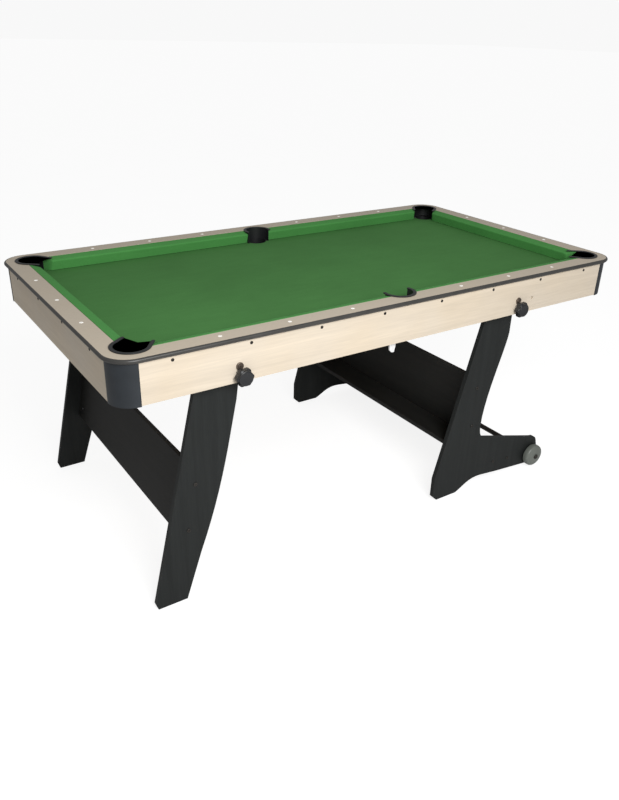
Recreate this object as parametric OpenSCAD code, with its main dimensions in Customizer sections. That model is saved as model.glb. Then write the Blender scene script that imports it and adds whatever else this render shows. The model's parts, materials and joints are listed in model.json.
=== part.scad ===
// Folding mini pool table on two leaning leg frames; the right frame has transport wheels.
// Origin: on the floor under the middle of the table. +X along the long side, +Z up.
// "front" is the long side at -Y, "left" is the end at -X.

/* [Table] */
// Length over the outer faces of the end panels
table_l = 1830; // [1600:1:2300]
// Width over the outer faces of the side panels
table_w = 984; // [860:1:1200]
// Height of the rail top above the floor
table_h = 800; // [760:1:980]
// Thickness of the side and end panels
panel_t = 15; // [12:0.5:18]
// Height of the side and end panels
panel_h = 116; // [110:1:136]
// Radius of the rounded corners
corner_r = 62; // [56:1:76]
// How far the corner pads stand proud of the panels
pad_proud = 1; // [0.5:0.5:2]
// How far the corner pads reach below the panels
pad_drop = 2; // [0:0.5:5]

/* [Rails and cushions] */
// Thickness of the rail top board
rail_t = 12; // [10:0.5:16]
// Width of the rail top from panel face to inner edge
rail_w = 50; // [44:1:60]
// Overhang of the rail top past the panels
rail_over = 5; // [3:0.5:7]
// How far the edge moulding bulges past the rail top
trim_bulge = 6; // [4:0.5:7]
// Width of a cushion from rail edge to nose
cushion_w = 32; // [28:1:38]
// Radius of the cushion's nose
nose_r = 3.5; // [2.5:0.25:4]
// Height of the nose centre below the rail top
nose_drop = 10.5; // [9:0.5:14]
// Diameter of the sighting dots
dot_d = 11; // [6:0.5:14]

/* [Bed] */
// Depth of the cloth below the rail top
bed_depth = 42; // [38:0.5:46]
// Thickness of the bed board
bed_t = 10.5; // [9:0.5:12]
// Thickness of the cloth
cloth_t = 1.5; // [1:0.25:2]
// Height of the battens under the bed
batten_h = 20; // [14:1:22]
// Width of the battens under the bed
batten_w = 44; // [30:1:60]

/* [Pockets] */
// Inner radius of the pocket rim
rim_r = 42; // [38:0.5:43]
// Width of the pocket rim
rim_w = 10; // [8:0.5:10]
// Height of the pocket rim above the rail
rim_proud = 2.5; // [1.5:0.5:4]
// Wall thickness of the pocket moulding
pocket_wall = 3; // [2:0.5:3]
// Inner radius of the ball cup
cup_r = 34; // [31:0.5:35]
// Depth of the ball cup below the cloth
cup_depth = 61; // [52:1:61]
// Set-back of the pocket centre behind the cushion nose
pocket_back = 10; // [8:0.5:12]
// Length of the straight horns of a corner pocket
horn_l = 38; // [30:1:42]

/* [Leg frames] */
// Thickness of the leg plates and crossboards
leg_t = 15; // [12:0.5:18]
// Distance of the left pivot from the middle of the table
left_pivot_x = 583; // [540:1:620]
// Distance of the right pivot from the middle of the table
right_pivot_x = 454; // [420:1:480]
// Depth of the pivots below the rail top
pivot_drop = 83; // [82:0.5:88]
// Width of a leg plate behind its pivot
leg_back = 101; // [85:1:115]
// Set-back of the left foot behind its pivot
left_foot_back = 256; // [230:1:280]
// Length of the left foot on the floor
left_foot_l = 91; // [75:1:110]
// Set-back of the right foot behind its pivot
right_foot_back = 231; // [205:1:250]
// Length of the right foot on the floor
right_foot_l = 91; // [75:1:110]
// Distance of the wheel axle ahead of the right pivot
wheel_x = 243; // [220:1:245]
// Height of the wheel axle
wheel_z = 49; // [45:0.5:60]
// Radius of the heel around the wheel axle
heel_r = 38; // [34:1:42]
// Height of the crossboards
crossboard_h = 222; // [180:1:250]
// Width of the shelf under the right crossboard
shelf_w = 98; // [70:1:110]
// Running gap between a leg plate and its hinge block
leg_gap = 0.5; // [0.4:0.1:1]

/* [Wheels] */
// Wheel radius
wheel_r = 42; // [36:0.5:44]
// Wheel width
wheel_w = 28; // [22:1:32]
// Side gap of the wheel
wheel_gap = 4; // [2:0.5:6]
// Outer diameter of the axle tube
axle_d = 19; // [16:0.5:24]

/* [Hardware] */
// Radius of the pivot bolts, knob studs and wheel bolts
bolt_r = 4; // [3:0.5:5]
// Radial running clearance of a bolt in its hole
fit = 0.06; // [0.03:0.01:0.09]
// Diameter of the pivot bolt caps
cap_d = 22; // [18:0.5:26]
// Diameter of the star knobs
knob_d = 53; // [44:1:58]
// Thickness of the star knobs
knob_t = 20; // [16:1:24]
// Distance of a knob's stud from its pivot
knob_arm = 28; // [26:0.5:32]
// Distance between the screws in the panels
screw_pitch = 219; // [180:1:240]
// Radius of the panel screws' heads
screw_head_r = 4.5; // [3.5:0.25:5.5]

/* [Hidden] */
$fn = 64;
half_l = table_l / 2;
half_w = table_w / 2;
inner_l = half_l - panel_t;
inner_w = half_w - panel_t;
corner_x = half_l - corner_r;
corner_y = half_w - corner_r;
pad_inner_r = corner_r - panel_t;
rail_z = table_h - rail_t;
panel_z = rail_z - panel_h;
rail_in_x = half_l - rail_w;
rail_in_y = half_w - rail_w;
// Bull-nose section of the edge moulding: a slice of this circle, as tall as the board
trim_circle = (rail_t * rail_t / 4 + trim_bulge * trim_bulge) / (2 * trim_bulge);

// Panel screws, the outermost at least screw_end clear of the corner pads
screw_shank_r = 2;
screw_l = 34;
screw_head_t = 1.6;
screw_end = 60;
screw_z = rail_z - 13;
long_screw_x = [for (i = [0:9], s = [-1, 1]) let (x = (i + 0.5) * screw_pitch)
  if (x < corner_x - screw_end) s * x];
end_screw_y = [for (i = [0:9], s = [-1, 1]) let (y = (i + 0.5) * screw_pitch)
  if (y < corner_y - screw_end) s * y];

// Bed, its cleats along the panels and its battens
nose_x = rail_in_x - cushion_w;
nose_y = rail_in_y - cushion_w;
cloth_z = table_h - bed_depth;
bed_z = cloth_z - cloth_t - bed_t;
cushion_lift = 1;
cushion_h = bed_depth - cushion_lift;
cushion_foot = 24;
cleat_t = 18;
cleat_h = 22;
cleat_z = bed_z - cleat_h;
// How far the cleats of the long and the short sides stop before the corners' centres
long_cleat_cut = 40;
end_cleat_cut = 70;
// Three battens each way from the middle, the outer ones this far inside the end panels
batten_in = 140;
batten_pitch = (inner_l - batten_in) / 2.5;
batten_end_gap = 17;

// Pockets: the cup sits off the rim's centre so that both touch at the back
touch = 0.5;
pocket_x = nose_x + pocket_back;
pocket_y = nose_y + pocket_back;
cup_wall = pocket_wall - 0.5;
cup_shift = rim_r - cup_r;
cup_gap = 0.3;
cleat_cup_gap = 8;
horn_turn = 9;
wall_horn = 6;
deck_t = 2;
middle_span = 102;
corner_span = 99;

// Pivots, hinge blocks, straps and studs
pivot_z = table_h - pivot_drop;
left_x = -left_pivot_x;
right_x = right_pivot_x;
block_t = 19.5;
block_l = 90;
block_lift = 4;
leg_out = inner_w - block_t - leg_gap;
leg_in = leg_out - leg_t;
top_r = 22;
edge_r = 18;
strap_t = 3;
nut_t = 6.5;
nut_d = 15;
strap_out = leg_in - leg_gap;
strap_in = strap_out - strap_t;
bolt_in = strap_in - nut_t - 2;
left_fold = 98;
right_fold = 90;
knob_angle = -78;
slot_gap = 0.35;
knob_dx = knob_arm * cos(knob_angle);
knob_dz = knob_arm * sin(knob_angle);
// Holes beside the right pivots that park the knobs while the frames are moved
hole_x = right_x + 65;
hole_r = 5;
hole_wood = 20;

// White clips inside the side panels
clip_x = -58;
clip_t = 5;
clip_w = 22;
clip_toe_w = 14;
clip_up = 40;
clip_drop = 34;
clip_screw_up = 25;

// Lean of the left plates' rear edges, worked out so that they end at the foot
foot_chamfer = 19;
foot_toe = 6;
left_rear = [left_x - left_foot_back - foot_toe, foot_chamfer];
left_edge_x = function(z) left_rear[0]
  + (left_x - leg_back - left_rear[0]) * (z - left_rear[1]) / (pivot_z - left_rear[1]);
crossboard_lean = 10.7;
left_board_z = 308;
left_board_in = 58;
left_board = [left_edge_x(left_board_z) + left_board_in, left_board_z];
board_bolt = 73;

// Screws and barrel nuts that hold the boards between the plates
leg_screw_r = 3;
leg_head_r = 6;
leg_head_t = 2;
leg_screw_l = 50;
barrel_r = 5;
barrel_in = 36;
left_bolts = [for (s = [-1, 1])
  left_board + s * board_bolt * [sin(crossboard_lean), cos(crossboard_lean)]];

// Right frame: crossboard on a shelf, and a rail under the heels
right_toe = 20;
right_rear = [right_x - right_foot_back - right_toe, foot_chamfer];
right_kink = [right_rear[0], 91];
right_edge_top = [right_x - leg_back + 14, pivot_z];
right_board_x = right_x - 99;
right_shelf_top = 225;
right_board_z = right_shelf_top + crossboard_h / 2;
shelf_z = right_shelf_top - leg_t;
right_bolts = [for (s = [-1, 1]) [right_board_x, right_board_z + s * board_bolt]];
rail_bolts = [[right_x + 41, 74], [right_x + 118, 66]];
rail_slope = atan2(rail_bolts[0][1] - rail_bolts[1][1], rail_bolts[1][0] - rail_bolts[0][0]);
heel_rail_w = 110;

// Wheels stand outside the plates
axle_x = right_x + wheel_x;
wheel_near = leg_out + wheel_gap;
wheel_far = wheel_near + wheel_w;

wood_pale = [0.95, 0.88, 0.76];
taupe = [0.67, 0.62, 0.57];
cloth_green = [0.27, 0.49, 0.25];
cushion_green = [0.3, 0.56, 0.3];
pad_black = [0.17, 0.19, 0.2];
trim_grey = [0.3, 0.3, 0.29];
charcoal = [0.2, 0.22, 0.22];
soft_black = [0.12, 0.12, 0.11];
wheel_grey = [0.5, 0.52, 0.5];
raw_wood = [0.78, 0.66, 0.48];
steel = [0.7, 0.71, 0.73];
ivory = [0.92, 0.89, 0.84];

// ---- helpers ----

// Draws its children at the front side, or mirrored to the back
module on_side(side) {
  if (side < 0) children();
  else mirror([0, 1, 0]) children();
}

// A slab in the XZ plane at the front, from y = -near to y = -(near + t)
module slab(near, t) {
  translate([0, -near, 0]) rotate([90, 0, 0]) linear_extrude(t) children();
}

// A round bar along Y at the front, from y = -near to y = -far
module bar(x, z, r, near, far) {
  translate([x, -near, z]) rotate([90, 0, 0]) cylinder(r = r, h = far - near);
}

module rounded_plan(hx, hy, r) {
  square([2 * hx, 2 * (hy - r)], center = true);
  square([2 * (hx - r), 2 * hy], center = true);
  for (sx = [-1, 1], sy = [-1, 1])
    translate([sx * (hx - r), sy * (hy - r)]) circle(r);
}

// Points of a curve from p0 to p3 that leaves towards p1 and arrives from p2
function curve(p0, p1, p2, p3, n) = [
  for (i = [0:n]) let (t = i / n, s = 1 - t)
    s * s * s * p0 + 3 * s * s * t * p1 + 3 * s * t * t * p2 + t * t * t * p3
];

// Points of an arc around c with radius r from angle a0 to angle a1
function arc(c, r, a0, a1, n) = [
  for (i = [0:n]) let (a = a0 + (a1 - a0) * i / n) c + r * [cos(a), sin(a)]
];

// The half circle from angle a0 to the opposite side, without its two end points
function cap(c, r, a0) = [
  for (i = [1:7]) let (a = a0 + 180 * i / 8) c + r * [cos(a), sin(a)]
];

function polar(r, a) = r * [cos(a), sin(a)];

// ---- panels and corners ----

module side_panel(side) {
  color(wood_pale) on_side(side) difference() {
    translate([-corner_x, -half_w, panel_z]) cube([2 * corner_x, panel_t, panel_h]);
    for (x = [left_x, right_x]) {
      bar(x, pivot_z, bolt_r + fit, inner_w - 1, half_w + 1);
      bar(x + knob_dx, pivot_z + knob_dz, bolt_r + fit, inner_w - 1, half_w + 1);
    }
    bar(hole_x, pivot_z, hole_r, inner_w - 1, half_w + 1);
    for (x = long_screw_x) bar(x, screw_z, screw_shank_r, inner_w - 1, half_w + 1);
  }
}

module end_panel(side) {
  color(wood_pale) mirror([side < 0 ? 1 : 0, 0, 0]) difference() {
    translate([inner_l, -corner_y, panel_z]) cube([panel_t, 2 * corner_y, panel_h]);
    for (y = end_screw_y)
      translate([inner_l - 1, y, screw_z]) rotate([0, 90, 0])
        cylinder(r = screw_shank_r, h = panel_t + 2);
  }
}

// Quarter-round plastic corner with two tabs behind the panels
module corner_pad(sx, sy) {
  tab_t = 3;
  tab_l = 30;
  tab_z = panel_z + 3;
  tab_h = cleat_z - tab_z - 3;
  color(pad_black) scale_signs(sx, sy) {
    translate([corner_x, corner_y, panel_z - pad_drop])
      linear_extrude(panel_h + pad_drop) intersection() {
        difference() {
          circle(corner_r + pad_proud);
          circle(pad_inner_r);
        }
        square(corner_r + 2 * pad_proud);
      }
    translate([corner_x - tab_l, inner_w - tab_t, tab_z])
      cube([tab_l + tab_t, tab_t, tab_h]);
    translate([inner_l - tab_t, corner_y - tab_l, tab_z])
      cube([tab_t, tab_l + tab_t, tab_h]);
  }
}

module scale_signs(sx, sy) {
  mirror([sx < 0 ? 1 : 0, 0, 0]) mirror([0, sy < 0 ? 1 : 0, 0]) children();
}

module panel_screw() {
  rotate([0, 90, 0]) cylinder(r = screw_head_r, h = screw_head_t);
  translate([-screw_l, 0, 0]) rotate([0, 90, 0]) cylinder(r = screw_shank_r, h = screw_l + 1);
}

module panel_screws() {
  color(soft_black) {
    for (s = [-1, 1], x = long_screw_x)
      translate([x, s * half_w, screw_z]) rotate([0, 0, s * 90]) panel_screw();
    for (s = [-1, 1], y = end_screw_y)
      translate([s * half_l, y, screw_z]) rotate([0, 0, s < 0 ? 180 : 0]) panel_screw();
  }
}

// ---- rail top ----

module each_pocket_hole(r, shift) {
  d = shift / sqrt(2);
  for (sx = [-1, 1], sy = [-1, 1])
    translate([sx * (pocket_x + d), sy * (pocket_y + d)]) circle(r);
  for (sy = [-1, 1]) translate([0, sy * (pocket_y + shift)]) circle(r);
}

module top_frame() {
  color(taupe) translate([0, 0, rail_z]) linear_extrude(rail_t) difference() {
    rounded_plan(half_l + rail_over, half_w + rail_over, corner_r + rail_over);
    square([2 * rail_in_x, 2 * rail_in_y], center = true);
    each_pocket_hole(rim_r + pocket_wall + touch, 0);
  }
}

module trim_section() {
  intersection() {
    translate([trim_bulge - trim_circle, rail_t / 2]) circle(trim_circle);
    square([trim_bulge, rail_t]);
  }
}

module edge_trim() {
  run_r = corner_r + rail_over;
  color(trim_grey) translate([0, 0, rail_z]) {
    for (s = [0, 1]) mirror([s, 0, 0])
      translate([half_l + rail_over, corner_y, 0]) rotate([90, 0, 0])
        linear_extrude(2 * corner_y) trim_section();
    for (s = [0, 1]) mirror([0, s, 0])
      translate([-corner_x, half_w + rail_over, 0]) rotate([90, 0, 90])
        linear_extrude(2 * corner_x) trim_section();
    for (sx = [0, 1], sy = [0, 1]) mirror([sx, 0, 0]) mirror([0, sy, 0])
      translate([corner_x, corner_y, 0]) rotate_extrude(angle = 90)
        translate([run_r, 0]) trim_section();
  }
}

// Dots at the eighths of the long side and the quarters of the short side of the playing area
module rail_dots() {
  dot_t = 0.4;
  dot_in = rail_w / 2 - 1;
  color(ivory) translate([0, 0, table_h]) {
    for (i = [-3:3], s = [-1, 1]) if (i != 0)
      translate([i * nose_x / 4, s * (half_w - dot_in), 0]) cylinder(d = dot_d, h = dot_t);
    for (i = [-1:1], s = [-1, 1])
      translate([s * (half_l - dot_in), i * nose_y / 2, 0]) cylinder(d = dot_d, h = dot_t);
  }
}

// Wooden blocks under the rail top that carry the cushions and take the panel screws
module rail_blocks() {
  ease = rim_r + pocket_wall + 4;
  h = rail_z - cloth_z;
  color(raw_wood) difference() {
    union() {
      for (sx = [-1, 1], sy = [-1, 1]) scale_signs(sx, sy)
        translate([ease, rail_in_y, cloth_z])
          cube([pocket_x - 2 * ease, inner_w - rail_in_y, h]);
      for (s = [0, 1]) mirror([s, 0, 0])
        translate([rail_in_x, ease - pocket_y, cloth_z])
          cube([inner_l - rail_in_x, 2 * (pocket_y - ease), h]);
    }
    for (s = [-1, 1], x = long_screw_x)
      translate([x, s * (half_w + 1), screw_z]) rotate([s * 90, 0, 0])
        cylinder(r = screw_shank_r, h = screw_l + 1);
    for (s = [-1, 1], y = end_screw_y)
      translate([s * (half_l + 1), y, screw_z]) rotate([0, -s * 90, 0])
        cylinder(r = screw_shank_r, h = screw_l + 1);
  }
}

// ---- cushions ----

// Section of a cushion: x from the rail edge to the nose, y up
module cushion_section() {
  nose = [cushion_w - nose_r, cushion_h - nose_drop];
  polygon([
    [0, 0], [cushion_foot, 0], nose + nose_r * [cos(-35), sin(-35)],
    nose + nose_r * [cos(72), sin(72)], [0, cushion_h]
  ]);
  translate(nose) circle(nose_r);
}

// Half-space on the pocket's side of the horn that meets an end cushion
module end_horn_cut() {
  reach = 200;
  off = rim_r + pocket_wall + touch;
  rotate([0, 0, 45 - horn_turn]) translate([-reach, -off, 0])
    cube([2 * reach, reach, bed_depth + 2]);
}

module each_corner() {
  for (sx = [-1, 1], sy = [-1, 1]) scale_signs(sx, sy)
    translate([pocket_x, pocket_y, cloth_z - 1]) children();
}

module long_cushion(sx, sy) {
  ease = rim_r + pocket_wall + touch;
  color(cushion_green) difference() {
    scale_signs(sx, sy) translate([ease, rail_in_y, cloth_z + cushion_lift])
      mirror([0, 1, 0]) rotate([90, 0, 90]) linear_extrude(rail_in_x - ease) cushion_section();
    each_corner() mirror([1, -1, 0]) end_horn_cut();
  }
}

module end_cushion(sx) {
  color(cushion_green) difference() {
    scale_signs(sx, 1) translate([rail_in_x, -rail_in_y, cloth_z + cushion_lift])
      mirror([1, 0, 0]) rotate([90, 0, 180]) mirror([1, 0, 0])
        linear_extrude(2 * rail_in_y) cushion_section();
    each_corner() end_horn_cut();
  }
}

// ---- pockets ----

// Wedge that opens a pocket towards -Y, outside span degrees each way from +Y
module mouth(span, far) {
  polygon([[0, 0], far * [cos(90 + span), sin(90 + span)], [-far, -far], [far, -far],
    far * [cos(90 - span), sin(90 - span)]]);
}

// Horseshoe in plan, open towards -Y, with a straight horn and a round tip at each end
module horseshoe(r0, r1, span, horn) {
  n = 36;
  w = (r1 - r0) / 2;
  a = 90 + span;
  tip = polar(r0 + w, a) + polar(horn, a + 90);
  polygon(concat(
    arc([0, 0], r1, 180 - a, a, n),
    [tip + polar(w, a)], cap(tip, w, a), [tip - polar(w, a)],
    arc([0, 0], r0, a, 180 - a, n),
    [[-tip[0], tip[1]] + polar(w, -a)], cap([-tip[0], tip[1]], w, -a),
    [[-tip[0], tip[1]] - polar(w, -a)]
  ));
}

// One pocket moulding, its mouth towards -Y and its centre at the origin.
// The rim's inner edge overhangs the wall by a small lip.
module pocket(span, horn) {
  lip = 0.4;
  cup_z = cloth_z - cup_depth;
  wall_out = rim_r + pocket_wall;
  color(soft_black) {
    translate([0, 0, table_h]) linear_extrude(rim_proud)
      horseshoe(rim_r, rim_r + rim_w, span, horn);
    translate([0, 0, cloth_z]) linear_extrude(bed_depth + rim_proud / 2)
      horseshoe(rim_r + lip, wall_out, span, min(horn, wall_horn));
    translate([0, 0, cloth_z]) linear_extrude(deck_t) difference() {
      circle(wall_out - lip);
      translate([0, cup_shift]) circle(cup_r);
      mouth(span, 2 * wall_out);
    }
    translate([0, cup_shift, cup_z]) difference() {
      cylinder(r = cup_r + cup_wall, h = cup_depth);
      translate([0, 0, cup_wall]) cylinder(r = cup_r, h = cup_depth);
    }
  }
}

module corner_pocket(sx, sy) {
  scale_signs(sx, sy) translate([pocket_x, pocket_y, 0]) rotate([0, 0, -45])
    pocket(corner_span, horn_l);
}

module middle_pocket(side) {
  on_side(side) translate([0, -pocket_y, 0]) rotate([0, 0, 180]) pocket(middle_span, 1);
}

// ---- bed ----

module bed_plan() {
  edge = 0.5;
  difference() {
    rounded_plan(inner_l - edge, inner_w - edge, pad_inner_r - edge);
    each_pocket_hole(cup_r + cup_wall + cup_gap, cup_shift);
  }
}

module bed_board() {
  color(raw_wood) translate([0, 0, bed_z]) linear_extrude(bed_t) bed_plan();
}

module bed_cloth() {
  color(cloth_green) translate([0, 0, bed_z + bed_t]) linear_extrude(cloth_t) bed_plan();
}

// Strips along the panels that the bed lies on, left out at the pockets and hinge blocks
module bed_cleats() {
  ends_x = corner_x - long_cleat_cut;
  ends_y = corner_y - end_cleat_cut;
  gap = cup_r + cup_wall + cleat_cup_gap;
  block_in_left = left_pivot_x - block_l / 2;
  block_out_left = left_pivot_x + block_l / 2;
  block_in_right = right_pivot_x - block_l / 2;
  block_out_right = hole_x + hole_wood;
  runs = [[-ends_x, -block_out_left], [-block_in_left, -gap],
    [gap, block_in_right], [block_out_right, ends_x]];
  color(raw_wood) {
    for (side = [-1, 1], run = runs) on_side(side)
      translate([run[0], -inner_w, cleat_z]) cube([run[1] - run[0], cleat_t, cleat_h]);
    for (s = [0, 1]) mirror([s, 0, 0])
      translate([inner_l - cleat_t, -ends_y, cleat_z]) cube([cleat_t, 2 * ends_y, cleat_h]);
  }
}

module bed_battens() {
  reach = leg_in - batten_end_gap;
  color(raw_wood) for (i = [-2.5:2.5])
    translate([i * batten_pitch - batten_w / 2, -reach, bed_z - batten_h])
      cube([batten_w, 2 * reach, batten_h]);
}

// ---- hinge hardware ----

module hinge_block(x, x1, side) {
  h = bed_z - panel_z - block_lift;
  color(raw_wood) on_side(side) difference() {
    translate([x - block_l / 2, -inner_w, panel_z + block_lift])
      cube([x1 - x + block_l / 2, block_t, h]);
    bar(x, pivot_z, bolt_r + fit, leg_out - 1, inner_w + 1);
    bar(x + knob_dx, pivot_z + knob_dz, bolt_r + fit, leg_out - 1, inner_w + 1);
    bar(hole_x, pivot_z, hole_r, leg_out - 1, inner_w + 1);
  }
}

module pivot_bolts() {
  cap_t = 4;
  color(soft_black) for (side = [-1, 1], x = [left_x, right_x]) on_side(side) {
    bar(x, pivot_z, bolt_r, bolt_in, half_w + 1);
    bar(x, pivot_z, cap_d / 2, half_w, half_w + cap_t);
  }
}

module pivot_nuts() {
  color(steel) for (side = [-1, 1], x = [left_x, right_x]) on_side(side) difference() {
    translate([x, -(strap_in - nut_t), pivot_z]) rotate([90, 0, 0])
      cylinder(d = nut_d, h = nut_t, $fn = 6);
    bar(x, pivot_z, bolt_r + fit, strap_in - nut_t - 1, strap_in + 1);
  }
}

// Steel straps that keep the knobs' threads from turning; each holds one pivot bolt and one stud
module clamp_straps() {
  strap_r = 11;
  stud = [knob_dx, knob_dz];
  color(steel) for (side = [-1, 1], x = [left_x, right_x]) on_side(side) difference() {
    slab(strap_in, strap_t) translate([x, pivot_z]) polygon(concat(
      arc([0, 0], strap_r, knob_angle + 90, knob_angle + 270, 12),
      arc(stud, strap_r, knob_angle - 90, knob_angle + 90, 12)
    ));
    bar(x, pivot_z, bolt_r + fit, strap_in - 1, strap_out + 1);
    bar(x + knob_dx, pivot_z + knob_dz, bolt_r + fit, strap_in - 1, strap_out + 1);
  }
}

// Star knob with its moulded stud, the stud along Y
module knob(x, side) {
  lobes = 6;
  lobe_r = 9;
  hub_r = 13;
  hub_t = 6;
  core_r = knob_d / 2 - 6;
  cx = x + knob_dx;
  cz = pivot_z + knob_dz;
  color(soft_black) on_side(side) {
    bar(cx, cz, hub_r, half_w + 0.5, half_w + hub_t + 1);
    bar(cx, cz, core_r, half_w + hub_t, half_w + hub_t + knob_t);
    for (i = [0:lobes - 1]) {
      a = i * 360 / lobes;
      d = knob_d / 2 - lobe_r;
      bar(cx + d * cos(a), cz + d * sin(a), lobe_r, half_w + hub_t + 1,
        half_w + hub_t + knob_t - 1);
    }
    bar(cx, cz, bolt_r, bolt_in, half_w + 1);
  }
}

// Moulded spring clips inside the side panels that grip the folded left leg plates
module leg_clips() {
  lead = 9;
  heel = 20;
  tip_z = panel_z - clip_drop;
  color(ivory) for (side = [-1, 1]) on_side(side) difference() {
    slab(inner_w - clip_t, clip_t) polygon([
      [clip_x - clip_w / 2, panel_z + clip_up], [clip_x - clip_w / 2, tip_z + lead],
      [clip_x - clip_w / 2 + lead, tip_z], [clip_x + clip_toe_w / 2, tip_z],
      [clip_x + clip_w / 2, tip_z + heel], [clip_x + clip_w / 2, panel_z + clip_up]
    ]);
    bar(clip_x, panel_z + clip_screw_up, screw_shank_r, inner_w - clip_t - 1, inner_w + 1);
  }
}

module clip_screws() {
  z = panel_z + clip_screw_up;
  color(steel) for (side = [-1, 1]) on_side(side) {
    bar(clip_x, z, screw_head_r, inner_w - clip_t - 2, inner_w - clip_t);
    bar(clip_x, z, screw_shank_r, inner_w - clip_t - 1, inner_w);
  }
}

// ---- left leg frame ----

// Arc slot around the pivot for the knob's stud, as wide as the stud plus its gap
module knob_slot(x, swing, near, far) {
  n = 28;
  w = bolt_r + slot_gap;
  a0 = knob_angle - swing;
  slab(near, far - near) translate([x, pivot_z]) polygon(concat(
    arc([0, 0], knob_arm + w, a0, knob_angle, n),
    cap(polar(knob_arm, knob_angle), w, knob_angle),
    arc([0, 0], knob_arm - w, knob_angle, a0, n),
    cap(polar(knob_arm, a0), w, a0 + 180)
  ));
}

module left_outline() {
  foot_x = left_x - left_foot_back + left_foot_l;
  top_z = pivot_z + top_r;
  polygon(concat(
    [[left_x, top_z]],
    arc([left_x, pivot_z], top_r, 90, 0, 12),
    curve([left_x + 8, pivot_z - 110], [left_x - 26, pivot_z - 280],
      [left_x - 50, pivot_z - 400], [foot_x + 50, 150], 10),
    [[foot_x, 2], [foot_x, 0], [left_x - left_foot_back, 0], left_rear],
    arc([left_edge_x(pivot_z) + edge_r, top_z - edge_r], edge_r, 180, 90, 6)
  ));
}

module leg_left(side) {
  color(charcoal) on_side(side) difference() {
    slab(leg_in, leg_t) left_outline();
    bar(left_x, pivot_z, bolt_r + fit, leg_in - 1, leg_out + 1);
    knob_slot(left_x, left_fold, leg_in - 1, leg_out + 1);
    for (p = left_bolts) bar(p[0], p[1], leg_screw_r, leg_in - 1, leg_out + 1);
  }
}

module leg_screw(p) {
  bar(p[0], p[1], leg_head_r, leg_out, leg_out + leg_head_t);
  bar(p[0], p[1], leg_screw_r, leg_out - leg_screw_l, leg_out + 0.5);
}

module crossboard_left() {
  color(soft_black) difference() {
    translate([left_board[0], 0, left_board[1]]) rotate([0, crossboard_lean, 0])
      cube([leg_t, 2 * leg_in, crossboard_h], center = true);
    for (side = [-1, 1], p = left_bolts) on_side(side) {
      bar(p[0], p[1], leg_screw_r, leg_out - leg_screw_l - 1, leg_in + 1);
      barrel_hole(p, crossboard_lean);
    }
  }
}

// Cross hole for a barrel nut, square to the board's face
module barrel_hole(p, lean) {
  translate([p[0], barrel_in - leg_in, p[1]]) rotate([0, 90 + lean, 0])
    cylinder(r = barrel_r, h = 2 * leg_t, center = true);
}

module barrel_nut(p, lean) {
  difference() {
    translate([p[0], barrel_in - leg_in, p[1]]) rotate([0, 90 + lean, 0])
      cylinder(r = barrel_r, h = leg_t - 1, center = true);
    bar(p[0], p[1], leg_screw_r, leg_in - barrel_in - 2 * barrel_r, leg_in - barrel_in + 2 * barrel_r);
  }
}

module leg_screws_left() {
  color(soft_black) for (side = [-1, 1], p = left_bolts) on_side(side) leg_screw(p);
}

module barrel_nuts_left() {
  color(steel) for (side = [-1, 1], p = left_bolts) on_side(side) barrel_nut(p, crossboard_lean);
}

// ---- right leg frame ----

// Plate with a toe at the left, a deep notch and a long heel that carries the wheel
module right_outline() {
  foot_x = right_x - right_foot_back + right_foot_l;
  top_z = pivot_z + top_r;
  axle = [axle_x, wheel_z];
  waist = right_x - 55;
  polygon(concat(
    [[right_x, top_z]],
    arc([right_x, pivot_z], top_r, 90, 0, 12),
    curve([right_x + top_r, pivot_z - 127], [right_x + 16, pivot_z - 187],
      [waist + 1, 370], [waist, 250], 10),
    curve([waist, 250], [waist + 1, 218], [waist + 8, 203], [waist + 28, 197], 6),
    arc([axle_x, wheel_z + 46], 26, 95, 15, 8),
    arc(axle, heel_r + 2, 25, -84, 12),
    [[right_x + 66, 26]],
    curve([right_x - 20, 36], [right_x - 80, 42], [right_x - 100, 16], [foot_x, 0], 8),
    [[right_x - right_foot_back, 0], right_rear, right_kink],
    arc([right_edge_top[0] + edge_r, top_z - edge_r], edge_r, 180, 90, 6)
  ));
}

module leg_right(side) {
  color(charcoal) on_side(side) difference() {
    slab(leg_in, leg_t) right_outline();
    bar(right_x, pivot_z, bolt_r + fit, leg_in - 1, leg_out + 1);
    knob_slot(right_x, right_fold, leg_in - 1, leg_out + 1);
    for (p = concat(right_bolts, rail_bolts))
      bar(p[0], p[1], leg_screw_r, leg_in - 1, leg_out + 1);
    bar(axle_x, wheel_z, bolt_r + fit, leg_in - 1, leg_out + 1);
  }
}

module crossboard_right() {
  color(soft_black) difference() {
    translate([right_board_x, 0, right_board_z])
      cube([leg_t, 2 * leg_in, crossboard_h], center = true);
    for (side = [-1, 1], p = right_bolts) on_side(side) {
      bar(p[0], p[1], leg_screw_r, leg_out - leg_screw_l - 1, leg_in + 1);
      barrel_hole(p, 0);
    }
  }
}

module shelf_right() {
  color(charcoal) translate([right_board_x + leg_t / 2 - shelf_w - leg_t, -leg_in, shelf_z])
    cube([shelf_w + leg_t, 2 * leg_in, leg_t]);
}

module heel_rail() {
  mid = (rail_bolts[0] + rail_bolts[1]) / 2;
  color(soft_black) difference() {
    translate([mid[0], 0, mid[1]]) rotate([0, rail_slope, 0])
      cube([heel_rail_w, 2 * leg_in, leg_t], center = true);
    for (side = [-1, 1], p = rail_bolts) on_side(side) {
      bar(p[0], p[1], leg_screw_r, leg_out - leg_screw_l - 1, leg_in + 1);
      barrel_hole(p, 90 + rail_slope);
    }
  }
}

module leg_screws_right() {
  color(soft_black) for (side = [-1, 1], p = concat(right_bolts, rail_bolts))
    on_side(side) leg_screw(p);
}

module barrel_nuts_right() {
  color(steel) for (side = [-1, 1]) on_side(side) {
    for (p = right_bolts) barrel_nut(p, 0);
    for (p = rail_bolts) barrel_nut(p, 90 + rail_slope);
  }
}

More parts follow.
